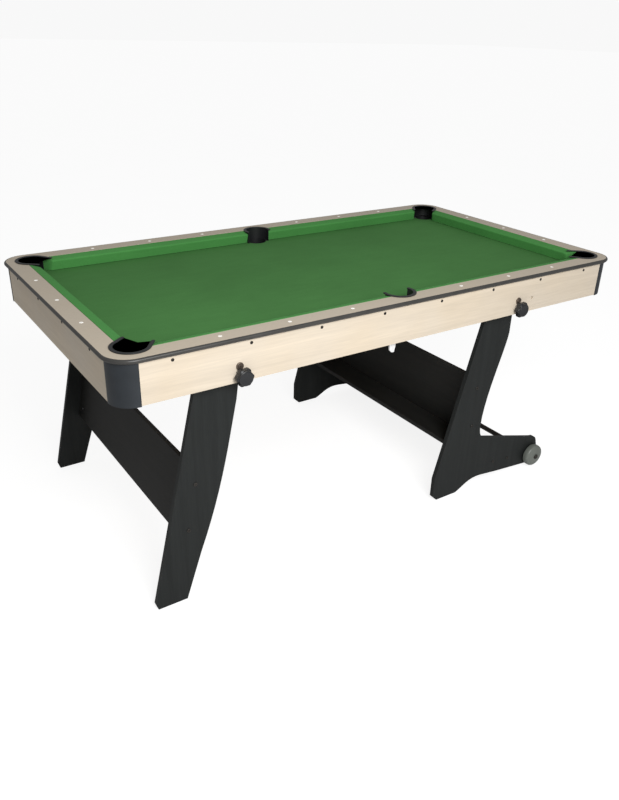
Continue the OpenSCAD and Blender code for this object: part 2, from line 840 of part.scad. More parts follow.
module axle_tube() {
  color(soft_black) difference() {
    bar(axle_x, wheel_z, axle_d / 2, -leg_in, leg_in);
    bar(axle_x, wheel_z, bolt_r + fit, -leg_in - 1, leg_in + 1);
  }
}

// ---- wheels ----

module wheel_bolts() {
  grip = 45;
  color(soft_black) for (side = [-1, 1]) on_side(side) {
    bar(axle_x, wheel_z, bolt_r, leg_in - grip, wheel_far + 1.5);
    bar(axle_x, wheel_z, 9, wheel_far + 1, wheel_far + 4);
    difference() {
      bar(axle_x, wheel_z, 8, leg_out, wheel_near - 0.5);
      bar(axle_x, wheel_z, bolt_r - 0.5, leg_out - 1, wheel_near);
    }
  }
}

module wheel(side) {
  tread_r = 4;
  rim_in = 30;
  hub = 11;
  color(wheel_grey) on_side(side) translate([axle_x, -wheel_near, wheel_z]) rotate([90, 0, 0])
    difference() {
      rotate_extrude() union() {
        translate([bolt_r + fit, 0]) square([hub - bolt_r - fit, wheel_w]);
        translate([bolt_r + fit, wheel_w - 7]) square([wheel_r - 10, 6]);
        translate([rim_in, tread_r]) square([wheel_r - rim_in, wheel_w - 2 * tread_r]);
        translate([rim_in, 0]) square([wheel_r - rim_in - tread_r, wheel_w]);
        for (y = [tread_r, wheel_w - tread_r])
          translate([wheel_r - tread_r, y]) circle(tread_r);
      }
      translate([0, 0, -1]) cylinder(r = bolt_r + fit, h = wheel_w + 2);
    }
}

// ---- named pieces ----

module side_panel_front() { side_panel(-1); }
module side_panel_back() { side_panel(1); }
module end_panel_left() { end_panel(-1); }
module end_panel_right() { end_panel(1); }
module corner_pad_left_front() { corner_pad(-1, -1); }
module corner_pad_left_back() { corner_pad(-1, 1); }
module corner_pad_right_front() { corner_pad(1, -1); }
module corner_pad_right_back() { corner_pad(1, 1); }
module cushion_left() { end_cushion(-1); }
module cushion_right() { end_cushion(1); }
module cushion_front_left() { long_cushion(-1, -1); }
module cushion_front_right() { long_cushion(1, -1); }
module cushion_back_left() { long_cushion(-1, 1); }
module cushion_back_right() { long_cushion(1, 1); }
module pocket_left_front() { corner_pocket(-1, -1); }
module pocket_left_back() { corner_pocket(-1, 1); }
module pocket_right_front() { corner_pocket(1, -1); }
module pocket_right_back() { corner_pocket(1, 1); }
module pocket_middle_front() { middle_pocket(-1); }
module pocket_middle_back() { middle_pocket(1); }
module hinge_block_left_front() { hinge_block(left_x, left_x + block_l / 2, -1); }
module hinge_block_left_back() { hinge_block(left_x, left_x + block_l / 2, 1); }
module hinge_block_right_front() { hinge_block(right_x, hole_x + hole_wood, -1); }
module hinge_block_right_back() { hinge_block(right_x, hole_x + hole_wood, 1); }
module leg_left_front() { leg_left(-1); }
module leg_left_back() { leg_left(1); }
module leg_right_front() { leg_right(-1); }
module leg_right_back() { leg_right(1); }
module wheel_front() { wheel(-1); }
module wheel_back() { wheel(1); }
module knob_left_front() { knob(left_x, -1); }
module knob_left_back() { knob(left_x, 1); }
module knob_right_front() { knob(right_x, -1); }
module knob_right_back() { knob(right_x, 1); }

side_panel_front();
side_panel_back();
end_panel_left();
end_panel_right();
corner_pad_left_front();
corner_pad_left_back();
corner_pad_right_front();
corner_pad_right_back();
top_frame();
edge_trim();
rail_dots();
panel_screws();
rail_blocks();
cushion_left();
cushion_right();
cushion_front_left();
cushion_front_right();
cushion_back_left();
cushion_back_right();
pocket_left_front();
pocket_left_back();
pocket_right_front();
pocket_right_back();
pocket_middle_front();
pocket_middle_back();
bed_board();
bed_cloth();
bed_cleats();
bed_battens();
hinge_block_left_front();
hinge_block_left_back();
hinge_block_right_front();
hinge_block_right_back();
pivot_bolts();
pivot_nuts();
clamp_straps();
leg_clips();
clip_screws();
leg_left_front();
leg_left_back();
crossboard_left();
leg_screws_left();
barrel_nuts_left();
leg_right_front();
leg_right_back();
crossboard_right();
shelf_right();
heel_rail();
axle_tube();
wheel_bolts();
leg_screws_right();
barrel_nuts_right();
wheel_front();
wheel_back();
knob_left_front();
knob_left_back();
knob_right_front();
knob_right_back();
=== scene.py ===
import json
import math
import bmesh
import bpy
from mathutils import Matrix, Vector, noise


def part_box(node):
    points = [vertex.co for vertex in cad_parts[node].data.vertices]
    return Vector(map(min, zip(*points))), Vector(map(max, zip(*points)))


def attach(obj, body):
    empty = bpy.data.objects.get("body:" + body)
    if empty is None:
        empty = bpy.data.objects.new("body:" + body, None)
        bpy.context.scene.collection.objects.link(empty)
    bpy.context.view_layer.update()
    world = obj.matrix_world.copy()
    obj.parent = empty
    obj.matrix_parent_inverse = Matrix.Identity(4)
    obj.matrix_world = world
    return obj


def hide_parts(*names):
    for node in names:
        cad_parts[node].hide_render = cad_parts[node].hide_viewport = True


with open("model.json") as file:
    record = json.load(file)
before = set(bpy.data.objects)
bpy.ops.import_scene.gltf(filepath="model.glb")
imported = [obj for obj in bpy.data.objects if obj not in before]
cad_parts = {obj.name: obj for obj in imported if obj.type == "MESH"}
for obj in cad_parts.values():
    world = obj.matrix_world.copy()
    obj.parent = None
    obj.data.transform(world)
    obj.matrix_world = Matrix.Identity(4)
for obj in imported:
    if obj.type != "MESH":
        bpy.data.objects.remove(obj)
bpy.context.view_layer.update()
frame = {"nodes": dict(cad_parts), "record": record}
cad = frame["nodes"]
bodyOf = {n: b for b, held in frame["record"]["behaviour"]["bodies"].items() for n in held}
sides = {"front": -1, "back": 1}
ends = {"left": -1, "right": 1}
print("frame loaded,", len(cad), "nodes")

# Camera. The heading is counted from +Y towards +X.
camera = {
    "heading": 34.49,
    "fall": 26.52,
    "roll": 1.664,
    "place": (-1.4353, -2.0535, 1.5087),
    "lens": 33.9,
}


def makeCamera(c):
    data = bpy.data.cameras.new("camera")
    data.lens = c["lens"]
    data.sensor_width = 36
    eye = bpy.data.objects.new("camera", data)
    turn = Matrix.Rotation(math.radians(-c["heading"]), 4, "Z")
    tilt = Matrix.Rotation(math.radians(90 - c["fall"]), 4, "X")
    roll = Matrix.Rotation(math.radians(c["roll"]), 4, "Z")
    eye.matrix_world = Matrix.Translation(c["place"]) @ turn @ tilt @ roll
    bpy.context.scene.collection.objects.link(eye)
    bpy.context.scene.camera = eye


makeCamera(camera)


# Nodes, for materials and for geometry alike
def add(tree, kind, sockets={}, **settings):
    node = tree.nodes.new(kind)
    for key, value in settings.items():
        setattr(node, key, value)
    for key, value in sockets.items():
        if isinstance(value, bpy.types.NodeSocket):
            tree.links.new(value, node.inputs[key])
        else:
            node.inputs[key].default_value = value
    return node


def startMaterial(name, color, roughness, **shaderValues):
    material = bpy.data.materials.new(name)
    material.use_nodes = True
    material.diffuse_color = (*color, 1)
    shader = material.node_tree.nodes["Principled BSDF"]
    shader.inputs["Base Color"].default_value = (*color, 1)
    shader.inputs["Roughness"].default_value = roughness
    for key, value in shaderValues.items():
        shader.inputs[key.replace("_", " ")].default_value = value
    return material, material.node_tree, shader


def placeOf(tree, scale=(1, 1, 1), turn=(0, 0, 0)):
    point = add(tree, "ShaderNodeTexCoord").outputs["Object"]
    return add(tree, "ShaderNodeMapping", {"Vector": point, "Scale": scale, "Rotation": turn}).outputs[0]


def speckle(tree, point, scale, detail=3.0, rough=0.55, bend=0.0):
    return add(tree, "ShaderNodeTexNoise", {
        "Vector": point, "Scale": scale, "Detail": detail, "Roughness": rough, "Distortion": bend,
    }).outputs["Fac"]


def ramp(tree, value, low, high, fromColor, toColor):
    node = add(tree, "ShaderNodeValToRGB", {"Fac": value})
    node.color_ramp.elements[0].position = low
    node.color_ramp.elements[1].position = high
    node.color_ramp.elements[0].color = (*fromColor, 1)
    node.color_ramp.elements[1].color = (*toColor, 1)
    return node.outputs["Color"]


def blend(tree, share, a, b, mode="MIX"):
    node = add(tree, "ShaderNodeMix", {0: share, 6: a, 7: b}, data_type="RGBA", blend_type=mode)
    return node.outputs[2]


def spread(tree, value, low, high):
    return add(tree, "ShaderNodeMapRange", {"Value": value, "To Min": low, "To Max": high}).outputs[0]


def times(tree, a, b):
    return add(tree, "ShaderNodeMath", {0: a, 1: b}, operation="MULTIPLY").outputs[0]


def plus(tree, a, b):
    return add(tree, "ShaderNodeMath", {0: a, 1: b}, operation="ADD").outputs[0]


def relief(tree, shader, height, strength, depth):
    bump = add(tree, "ShaderNodeBump", {"Height": height, "Strength": strength, "Distance": depth})
    tree.links.new(bump.outputs[0], shader.inputs["Normal"])


def wornEdge(tree):
    edge = add(tree, "ShaderNodeAttribute", attribute_name="wear").outputs["Fac"]
    patches = speckle(tree, placeOf(tree), 38, 4.0, 0.7)
    chips = add(tree, "ShaderNodeMapRange", {"Value": patches, "From Min": 0.5, "From Max": 0.66}).outputs[0]
    return times(tree, edge, chips)


def shade(color, k):
    return tuple(min(1.0, c * k) for c in color)


# Printed wood laminate and sawn wood. The grain runs along one axis: 0 is X, 1 is Y, 2 is Z.
def woodMaterial(name, w):
    material, tree, shader = startMaterial(
        name, w["color"], w["roughness"], Specular_IOR_Level=w.get("gloss", 0.4))
    across, along = w["figure"]
    scale = [1 / across] * 3
    scale[w["along"]] = 1 / along
    grain = placeOf(tree, scale)
    bands = speckle(tree, grain, 1.0, 4.0, 0.6, 0.5)
    lines = speckle(tree, grain, 7.0, 5.0, 0.65)
    clouds = speckle(tree, placeOf(tree), 4.5, 2.0)
    dark = shade(w["color"], 1 - w["contrast"])
    light = shade(w["color"], 1 + w["contrast"] / 2)
    tone = ramp(tree, bands, 0.3, 0.7, dark, light)
    streak = ramp(tree, lines, 0.35, 0.62, (1 - w["contrast"],) * 3, (1, 1, 1))
    warm = ramp(tree, clouds, 0.35, 0.7, w.get("warm", (1, 1, 1)), (1, 1, 1))
    color = blend(tree, 1.0, blend(tree, 1.0, tone, streak, "MULTIPLY"), warm, "MULTIPLY")
    color = blend(tree, wornEdge(tree), color, (*w.get("core", shade(w["color"], 1.5)), 1))
    tree.links.new(color, shader.inputs["Base Color"])
    rough = spread(tree, lines, w["roughness"] - 0.07, w["roughness"] + 0.08)
    tree.links.new(rough, shader.inputs["Roughness"])
    relief(tree, shader, plus(tree, lines, times(tree, bands, 0.4)), w["relief"], 0.0004)
    return material


# Chipboard or fibreboard, seen from below
def boardMaterial(name, w):
    material, tree, shader = startMaterial(name, w["color"], 0.85, Specular_IOR_Level=0.25)
    chips = add(tree, "ShaderNodeTexVoronoi", {"Vector": placeOf(tree, (1, 1.6, 1)), "Scale": 1 / w["chip"]})
    tone = ramp(tree, chips.outputs["Color"], 0.1, 0.9, shade(w["color"], 0.78), shade(w["color"], 1.12))
    dust = speckle(tree, placeOf(tree), 900, 2.0)
    color = blend(tree, 0.35, tone, ramp(tree, dust, 0.3, 0.7, shade(w["color"], 0.7), w["color"]))
    tree.links.new(color, shader.inputs["Base Color"])
    relief(tree, shader, plus(tree, chips.outputs["Distance"], dust), 0.25, 0.0006)
    return material


# Napped wool cloth: a short pile over a plain weave, brushed along X
def clothMaterial(name, w):
    material, tree, shader = startMaterial(
        name, w["color"], 0.92, Specular_IOR_Level=0.12, Sheen_Weight=w["sheen"], Sheen_Roughness=0.45)
    shader.inputs["Sheen Tint"].default_value = (*w["nap"], 1)
    brushed = speckle(tree, placeOf(tree, (14, 60, 60)), 1.0, 3.0, 0.6, 0.3)
    clouds = speckle(tree, placeOf(tree), 3.2, 3.0, 0.5)
    pile = speckle(tree, placeOf(tree, (500, 900, 900)), 1.0, 2.0, 0.7)
    waves = 1 / w["thread"] / 6.283
    threads = [add(tree, "ShaderNodeTexWave", {"Vector": placeOf(tree), "Scale": waves},
                   bands_direction=axis).outputs["Fac"] for axis in ("X", "Y")]
    weave = times(tree, threads[0], threads[1])
    dark = shade(w["color"], 1 - w["mottle"])
    light = shade(w["color"], 1 + w["mottle"])
    tone = ramp(tree, clouds, 0.32, 0.68, dark, light)
    tone = blend(tree, 1.0, tone, ramp(tree, brushed, 0.3, 0.7, (0.93, 0.93, 0.93), (1, 1, 1)), "MULTIPLY")
    fibre = ramp(tree, pile, 0.3, 0.72, (0.74, 0.78, 0.72), (1.0, 1.0, 1.0))
    tree.links.new(blend(tree, 1.0, tone, fibre, "MULTIPLY"), shader.inputs["Base Color"])
    relief(tree, shader, plus(tree, pile, times(tree, weave, 0.5)), 0.35, 0.0005)
    return material


# Moulded plastic with a spark-eroded grain, and an optional painted glow in its own colour
def plasticMaterial(name, w):
    material, tree, shader = startMaterial(
        name, w["color"], w["roughness"],
        Specular_IOR_Level=w.get("gloss", 0.5), Emission_Strength=w.get("glow", 0))
    shader.inputs["Emission Color"].default_value = (*w["color"], 1)
    grain = speckle(tree, placeOf(tree), 1 / w["grain"], 3.0, 0.6)
    haze = speckle(tree, placeOf(tree), 16, 4.0, 0.6)
    tone = ramp(tree, haze, 0.3, 0.75, shade(w["color"], 0.85), shade(w["color"], 1.15))
    color = blend(tree, wornEdge(tree), tone, (*shade(w["color"], 2.0), 1))
    tree.links.new(color, shader.inputs["Base Color"])
    uneven = plus(tree, times(tree, haze, 0.7), times(tree, grain, 0.3))
    rough = spread(tree, uneven, w["roughness"] - 0.1, w["roughness"] + 0.1)
    tree.links.new(rough, shader.inputs["Roughness"])
    relief(tree, shader, grain, w.get("relief", 0.2), 0.0004)
    return material


# Plated or blackened steel with turning marks
def metalMaterial(name, w):
    material, tree, shader = startMaterial(name, w["color"], w["roughness"], Metallic=w["metallic"])
    marks = speckle(tree, placeOf(tree, (300, 40, 300)), 1.0, 3.0)
    stain = speckle(tree, placeOf(tree), 60, 3.0)
    tone = ramp(tree, stain, 0.3, 0.7, shade(w["color"], 0.75), shade(w["color"], 1.1))
    tree.links.new(tone, shader.inputs["Base Color"])
    rough = spread(tree, marks, w["roughness"] - 0.1, w["roughness"] + 0.15)
    tree.links.new(rough, shader.inputs["Roughness"])
    relief(tree, shader, marks, 0.1, 0.0002)
    return material


maple = {"color": (0.77, 0.675, 0.55), "roughness": 0.5, "figure": (0.03, 0.7), "contrast": 0.07,
         "warm": (1.0, 0.975, 0.93), "relief": 0.12, "core": (0.62, 0.53, 0.42), "gloss": 0.35}
blackLaminate = {"color": (0.0215, 0.024, 0.0235), "roughness": 0.52, "figure": (0.02, 0.5), "contrast": 0.2,
                 "relief": 0.2, "core": (0.07, 0.065, 0.06), "gloss": 0.22}
mapleAlongX = woodMaterial("mapleAlongX", {**maple, "along": 0})
mapleAlongY = woodMaterial("mapleAlongY", {**maple, "along": 1})
legLaminate = woodMaterial("legLaminate", {**blackLaminate, "along": 2})
# The crossboards, shelf and heel rail get the leg laminate a little darker. This is painted shade for boards
# that stand in the table's shade
boardLaminate = woodMaterial("boardLaminate", {
    **blackLaminate, "color": (0.018, 0.018, 0.0165), "along": 1})
pine = {"color": (0.58, 0.41, 0.24), "roughness": 0.75, "figure": (0.012, 0.3), "contrast": 0.25,
        "relief": 0.5, "core": (0.66, 0.5, 0.32)}
pineAlongX = woodMaterial("pineAlongX", {**pine, "along": 0})
pineAlongY = woodMaterial("pineAlongY", {**pine, "along": 1})
# The rail laminate is the maple's colour darkened to about four fifths. This is partly painted shade for the
# rail top, which gets less light than the front panels, and partly a finer speckled print
railLaminate = woodMaterial("railLaminate", {
    "color": (0.63, 0.55, 0.44), "roughness": 0.42, "figure": (0.004, 0.012), "contrast": 0.06, "along": 0,
    "warm": (1.0, 0.985, 0.96), "relief": 0.06, "core": (0.55, 0.47, 0.38), "gloss": 0.4})
fibreboard = boardMaterial("fibreboard", {"color": (0.42, 0.30, 0.19), "chip": 0.004})
bedCloth = clothMaterial("bedCloth", {
    "color": (0.088, 0.262, 0.075), "nap": (0.25, 0.5, 0.22),
    "sheen": 0.08, "mottle": 0.06, "thread": 0.0011})
cushionCloth = clothMaterial("cushionCloth", {
    "color": (0.10, 0.36, 0.095), "nap": (0.25, 0.5, 0.22),
    "sheen": 0.08, "mottle": 0.05, "thread": 0.0011})
cornerPlastic = plasticMaterial("cornerPlastic", {
    "color": (0.022, 0.027, 0.033), "roughness": 0.38, "grain": 0.0012, "relief": 0.12})
edgePlastic = plasticMaterial("edgePlastic", {
    "color": (0.05, 0.048, 0.045), "roughness": 0.36, "grain": 0.001, "relief": 0.1})
pocketPlastic = plasticMaterial("pocketPlastic", {
    "color": (0.014, 0.015, 0.016), "roughness": 0.42, "grain": 0.0015, "gloss": 0.4})
knobPlastic = plasticMaterial("knobPlastic", {
    "color": (0.018, 0.019, 0.021), "roughness": 0.34, "grain": 0.0009})
wheelPlastic = plasticMaterial("wheelPlastic", {
    "color": (0.17, 0.185, 0.165), "roughness": 0.36, "grain": 0.0014})
clipPlastic = plasticMaterial("clipPlastic", {
    "color": (0.86, 0.86, 0.86), "roughness": 0.4, "grain": 0.0014})
# The dots get a faint painted glow (emission 0.3) in their own colour, so they stay bright white in any
# light
dotIvory = plasticMaterial("dotIvory", {
    "color": (0.98, 0.95, 0.88), "roughness": 0.25, "grain": 0.002, "relief": 0.03, "glow": 0.3})
blackSteel = metalMaterial("blackSteel", {"color": (0.06, 0.055, 0.05), "roughness": 0.4, "metallic": 0.8})
bronzeCap = metalMaterial("bronzeCap", {"color": (0.16, 0.125, 0.10), "roughness": 0.38, "metallic": 0.7})
zinc = metalMaterial("zinc", {"color": (0.62, 0.63, 0.65), "roughness": 0.35, "metallic": 1.0})
print("materials made,", len(bpy.data.materials))


# Every finished piece is a plain mesh at the origin that stands for its CAD nodes
def settle(piece, material, *standsFor, flatFaces=False):
    if flatFaces:
        weigh = piece.modifiers.new("flatFaces", "WEIGHTED_NORMAL")
        weigh.keep_sharp = True
    if piece.name not in bpy.context.scene.collection.objects:
        bpy.context.scene.collection.objects.link(piece)
    piece.data.materials.clear()
    piece.data.materials.append(material)
    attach(piece, bodyOf[standsFor[0]])
    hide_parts(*standsFor)
    return piece


def meshPiece(name, bm, crease=24):
    for face in bm.faces:
        face.smooth = True
    for edge in bm.edges:
        edge.smooth = len(edge.link_faces) == 2 and edge.calc_face_angle(0) < math.radians(crease)
    mesh = bpy.data.meshes.new(name)
    bm.to_mesh(mesh)
    bm.free()
    return bpy.data.objects.new(name, mesh)


def mergedNode(name):
    bm = bmesh.new()
    bm.from_mesh(cad[name].data)
    bmesh.ops.remove_doubles(bm, verts=bm.verts, dist=2e-6)
    flat = math.radians(0.6)
    bmesh.ops.dissolve_limit(bm, angle_limit=flat, verts=bm.verts, edges=bm.edges)
    return bm


def easeEdges(bm, width, steps=2, sharp=38):
    wear = bm.faces.layers.float.get("wear") or bm.faces.layers.float.new("wear")
    limit = math.radians(sharp)
    edges = [e for e in bm.edges if len(e.link_faces) == 2 and e.calc_face_angle(0) > limit]
    made = bmesh.ops.bevel(bm, geom=edges, offset=width, segments=steps, profile=0.5,
                           affect="EDGES", clamp_overlap=True)
    for face in made["faces"]:
        face[wear] = 1.0


# Boards, pads, plates and pockets: the CAD shape with its edges eased, and wear along them
easing = {
    "panel": 0.0007,
    "rail": 0.0006,
    "leg": 0.0009,
    "pad": 0.0012,
    "pocket": 0.0010,
    "wood": 0.0008,
    "strap": 0.0004,
}


def easedPiece(node, width, material):
    bm = mergedNode(node)
    easeEdges(bm, width)
    return settle(meshPiece(node + "_finished", bm, 50), material, node, flatFaces=True)


for side in sides:
    easedPiece("side_panel_" + side, easing["panel"], mapleAlongX)
    easedPiece("leg_left_" + side, easing["leg"], legLaminate)
    easedPiece("leg_right_" + side, easing["leg"], legLaminate)
for end in ends:
    easedPiece("end_panel_" + end, easing["panel"], mapleAlongY)
    easedPiece("crossboard_" + end, easing["leg"], boardLaminate)
    for side in sides:
        easedPiece(f"corner_pad_{end}_{side}", easing["pad"], cornerPlastic)
        easedPiece(f"hinge_block_{end}_{side}", easing["wood"], pineAlongX)
easedPiece("shelf_right", easing["leg"], boardLaminate)
easedPiece("heel_rail", easing["leg"], boardLaminate)
easedPiece("axle_tube", easing["strap"], blackSteel)
easedPiece("bed_board", easing["wood"], fibreboard)
easedPiece("bed_battens", easing["wood"], pineAlongY)
easedPiece("bed_cleats", easing["wood"], pineAlongX)
easedPiece("rail_blocks", easing["wood"], pineAlongX)
easedPiece("leg_clips", easing["strap"], clipPlastic)
easedPiece("clamp_straps", easing["strap"], zinc)
easedPiece("pivot_nuts", easing["strap"], zinc)
for end in ends:
    easedPiece("barrel_nuts_" + end, easing["strap"], zinc)
easedPiece("top_frame", easing["rail"], railLaminate)
print("boards and plates eased")


# Each tree below is run once by a modifier, and its result kept as a plain mesh
def startTree(name, inputs):
    tree = bpy.data.node_groups.new(name, "GeometryNodeTree")
    tree.interface.new_socket("Geometry", in_out="INPUT", socket_type="NodeSocketGeometry")
    for label, value in inputs.items():
        kind = "Int" if isinstance(value, int) else "Float"
        kind = {"head": "Object", "finish": "Material"}.get(label, kind)
        socket = tree.interface.new_socket(label, in_out="INPUT", socket_type="NodeSocket" + kind)
        if kind in ("Int", "Float"):
            socket.default_value = value
    tree.interface.new_socket("Geometry", in_out="OUTPUT", socket_type="NodeSocketGeometry")
    return tree, tree.nodes.new("NodeGroupInput").outputs


def endTree(tree, geometry, finish):
    real = add(tree, "GeometryNodeRealizeInstances", {"Geometry": geometry}).outputs[0]
    painted = add(tree, "GeometryNodeSetMaterial", {"Geometry": real, "Material": finish}).outputs[0]
    add(tree, "NodeGroupOutput", {"Geometry": painted})


def grow(name, tree, values, seedMesh=None):
    seed = bpy.data.objects.new(name + "_seed", seedMesh or bpy.data.meshes.new(name + "_seed"))
    bpy.context.scene.collection.objects.link(seed)
    modifier = seed.modifiers.new("grow", "NODES")
    modifier.node_group = tree
    for item in tree.interface.items_tree:
        if item.item_type == "SOCKET" and item.in_out == "INPUT" and item.name in values:
            modifier[item.identifier] = values[item.name]
    graph = bpy.context.evaluated_depsgraph_get()
    mesh = bpy.data.meshes.new_from_object(seed.evaluated_get(graph), depsgraph=graph)
    bpy.data.objects.remove(seed)
    bm = bmesh.new()
    bm.from_mesh(mesh)
    bmesh.ops.recalc_face_normals(bm, faces=bm.faces)
    return meshPiece(name, bm)


# Edge moulding: a bull nose swept round the rail board, with a thin lip over its edge
moulding = {
    "half length": 0.920,
    "half width": 0.497,
    "corner radius": 0.067,
    "corner steps": 28,
    "bulge": 0.006,
    "lip": 0.0045,
    "lip overhang": 0.002,
    "lip height": 0.0009,
    "nose steps": 15,
    "middle height": 0.794,
    "finish": edgePlastic,
}


def mouldingTree():
    tree, size = startTree("mouldingSweep", moulding)
    width = times(tree, size["half length"], 2.0)
    height = times(tree, size["half width"], 2.0)
    loop = add(tree, "GeometryNodeCurvePrimitiveQuadrilateral", {"Width": width, "Height": height})
    path = add(tree, "GeometryNodeFilletCurve", {
        "Curve": loop.outputs[0], "Radius": size["corner radius"], "Count": size["corner steps"],
    }, mode="POLY")
    path = add(tree, "GeometryNodeSetCurveNormal", {"Curve": path.outputs[0]}, mode="Z_UP").outputs[0]
    nose = add(tree, "GeometryNodeCurveArc", {
        "Resolution": size["nose steps"], "Radius": size["bulge"],
        "Start Angle": math.radians(-90), "Sweep Angle": math.radians(180)}).outputs[0]
    nose = add(tree, "GeometryNodeSetSplineCyclic", {"Geometry": nose, "Cyclic": True}).outputs[0]
    # The lip reaches a little way over the nose as well
    lipWidth = plus(tree, size["lip"], size["lip overhang"])
    lipHeight = times(tree, size["lip height"], 2.0)
    lip = add(tree, "GeometryNodeCurvePrimitiveQuadrilateral", {"Width": lipWidth, "Height": lipHeight})
    lip = add(tree, "GeometryNodeFilletCurve", {
        "Curve": lip.outputs[0], "Radius": size["lip height"], "Count": 3}, mode="POLY")
    inward = plus(tree, times(tree, size["lip"], -0.5), times(tree, size["lip overhang"], 0.5))
    lipPlace = add(tree, "ShaderNodeCombineXYZ", {"X": inward, "Y": size["bulge"]}).outputs[0]
    lip = add(tree, "GeometryNodeTransform", {"Geometry": lip.outputs[0], "Translation": lipPlace})
    lip = lip.outputs[0]
    profiles = add(tree, "GeometryNodeJoinGeometry")
    tree.links.new(nose, profiles.inputs[0])
    tree.links.new(lip, profiles.inputs[0])
    section = profiles.outputs[0]
    swept = add(tree, "GeometryNodeCurveToMesh", {"Curve": path, "Profile Curve": section}).outputs[0]
    lift = add(tree, "ShaderNodeCombineXYZ", {"Z": size["middle height"]}).outputs[0]
    raised = add(tree, "GeometryNodeTransform", {"Geometry": swept, "Translation": lift}).outputs[0]
    endTree(tree, raised, size["finish"])
    return tree


settle(grow("edge_moulding", mouldingTree(), moulding), edgePlastic, "edge_trim")
print("edge moulding swept")


# Turned shapes. A ring is (radius, height, depth of the hollows between lobes).
def turn(bm, rings, place=Matrix(), steps=40, lobes=6, closed=False):
    loops = []
    for radius, height, *hollow in rings:
        if radius == 0:
            loops.append([bm.verts.new(place @ Vector((0, 0, height)))] * steps)
            continue
        loop = []
        for k in range(steps):
            a = math.tau * k / steps
            r = radius - (hollow[0] * (1 - math.cos(lobes * a)) / 2 if hollow else 0)
            loop.append(bm.verts.new(place @ Vector((r * math.cos(a), r * math.sin(a), height))))
        loops.append(loop)
    pairs = list(zip(loops, loops[1:])) + ([(loops[-1], loops[0])] if closed else [])
    for low, high in pairs:
        for k in range(steps):
            corners = [low[k], low[k - steps + 1], high[k - steps + 1], high[k]]
            bm.faces.new(list(dict.fromkeys(corners)))


def turned(name, rings, place=Matrix(), steps=40, **more):
    bm = bmesh.new()
    turn(bm, rings, place, steps, **more)
    bmesh.ops.recalc_face_normals(bm, faces=bm.faces)
    return meshPiece(name, bm)


def facingOut(x, y, z, side):
    # Local Z points away from the table's middle, along Y
    return Matrix.Translation((x, y, z)) @ Matrix.Rotation(math.radians(-90 * side), 4, "X")


# Heads of screws, bolts and dots, each at the origin with Z out of the surface
def recessed(head, arms, reach, width, depth):
    bm = bmesh.new()
    for k in range(arms):
        a = math.pi * k / arms
        box = bmesh.ops.create_cube(bm, size=1.0)["verts"]
        for v in box:
            s = 0.7 if v.co.z < 0 else 1.0
            v.co = Vector((v.co.x * 2 * reach * s, v.co.y * width * s, v.co.z * 2 * depth))
            v.co.rotate(Matrix.Rotation(a, 3, "Z"))
            v.co.z += max(h.co.z for h in head.data.vertices)
    cutMesh = bpy.data.meshes.new("cutter")
    bm.to_mesh(cutMesh)
    bm.free()
    cutter = bpy.data.objects.new("cutter", cutMesh)
    bpy.context.scene.collection.objects.link(cutter)
    bpy.context.scene.collection.objects.link(head)
    cut = head.modifiers.new("recess", "BOOLEAN")
    cut.operation = "DIFFERENCE"
    cut.solver = "EXACT"
    cut.use_self = True
    cut.object = cutter
    graph = bpy.context.evaluated_depsgraph_get()
    mesh = bpy.data.meshes.new_from_object(head.evaluated_get(graph), depsgraph=graph)
    bpy.data.objects.remove(cutter)
    bpy.data.objects.remove(head)
    return bpy.data.objects.new("head", mesh)


def scaled(points, k=0.001):
    return [tuple(c * k for c in p) for p in points]


# Rings in millimetres, (radius, height)
headShapes = {
    "panelScrew": [(0, -12), (2, -12), (2, -0.4), (4.5, -0.4), (4.5, 0.5), (4.1, 1.0), (3.0, 1.4),
                   (1.5, 1.6), (0, 1.6)],
    "legScrew": [(0, -8), (3, -8), (3, -0.3), (6, -0.3), (6, 1.4), (5.6, 1.9), (5.0, 2.0), (0, 2.0)],
    "clipScrew": [(0, -3), (1.8, -3), (1.8, -0.3), (4.4, -0.3), (4.2, 0.8), (3.0, 1.6), (1.5, 1.9),
                  (0, 2.0)],
    "pivotCap": [(0, -18), (4, -18), (4, -0.5), (11, -0.5), (11, 2.2), (10.6, 3.2), (9.8, 3.8), (8.6, 4.0),
                 (7.4, 3.8), (6.9, 3.0), (6.3, 3.0), (5.8, 3.8), (5.2, 4.0), (0, 4.0)],
    "dot": [(0, -0.2), (5.5, -0.2), (5.5, 0.15), (5.1, 0.32), (3.5, 0.38), (0, 0.4)],
}
# A recess is cut by crossed bars: how many, how far they reach, how wide and how deep
recesses = {
    "panelScrew": (2, 0.0023, 0.0009, 0.0011),
    "legScrew": (3, 0.0023, 0.0026, 0.0014),
    "clipScrew": (2, 0.0022, 0.0009, 0.0012),
    "pivotCap": (3, 0.0028, 0.0032, 0.0024),
}


def headOf(kind, steps=24):
    head = turned("head", scaled(headShapes[kind]), steps=steps)
    return recessed(head, *recesses[kind]) if kind in recesses else head


def topOf(kind):
    return headShapes[kind][-1][1] / 1000


screwHead = headOf("panelScrew")
boltHead = headOf("legScrew")
clipHead = headOf("clipScrew")
capHead = headOf("pivotCap", 36)
dotHead = headOf("dot", 32)


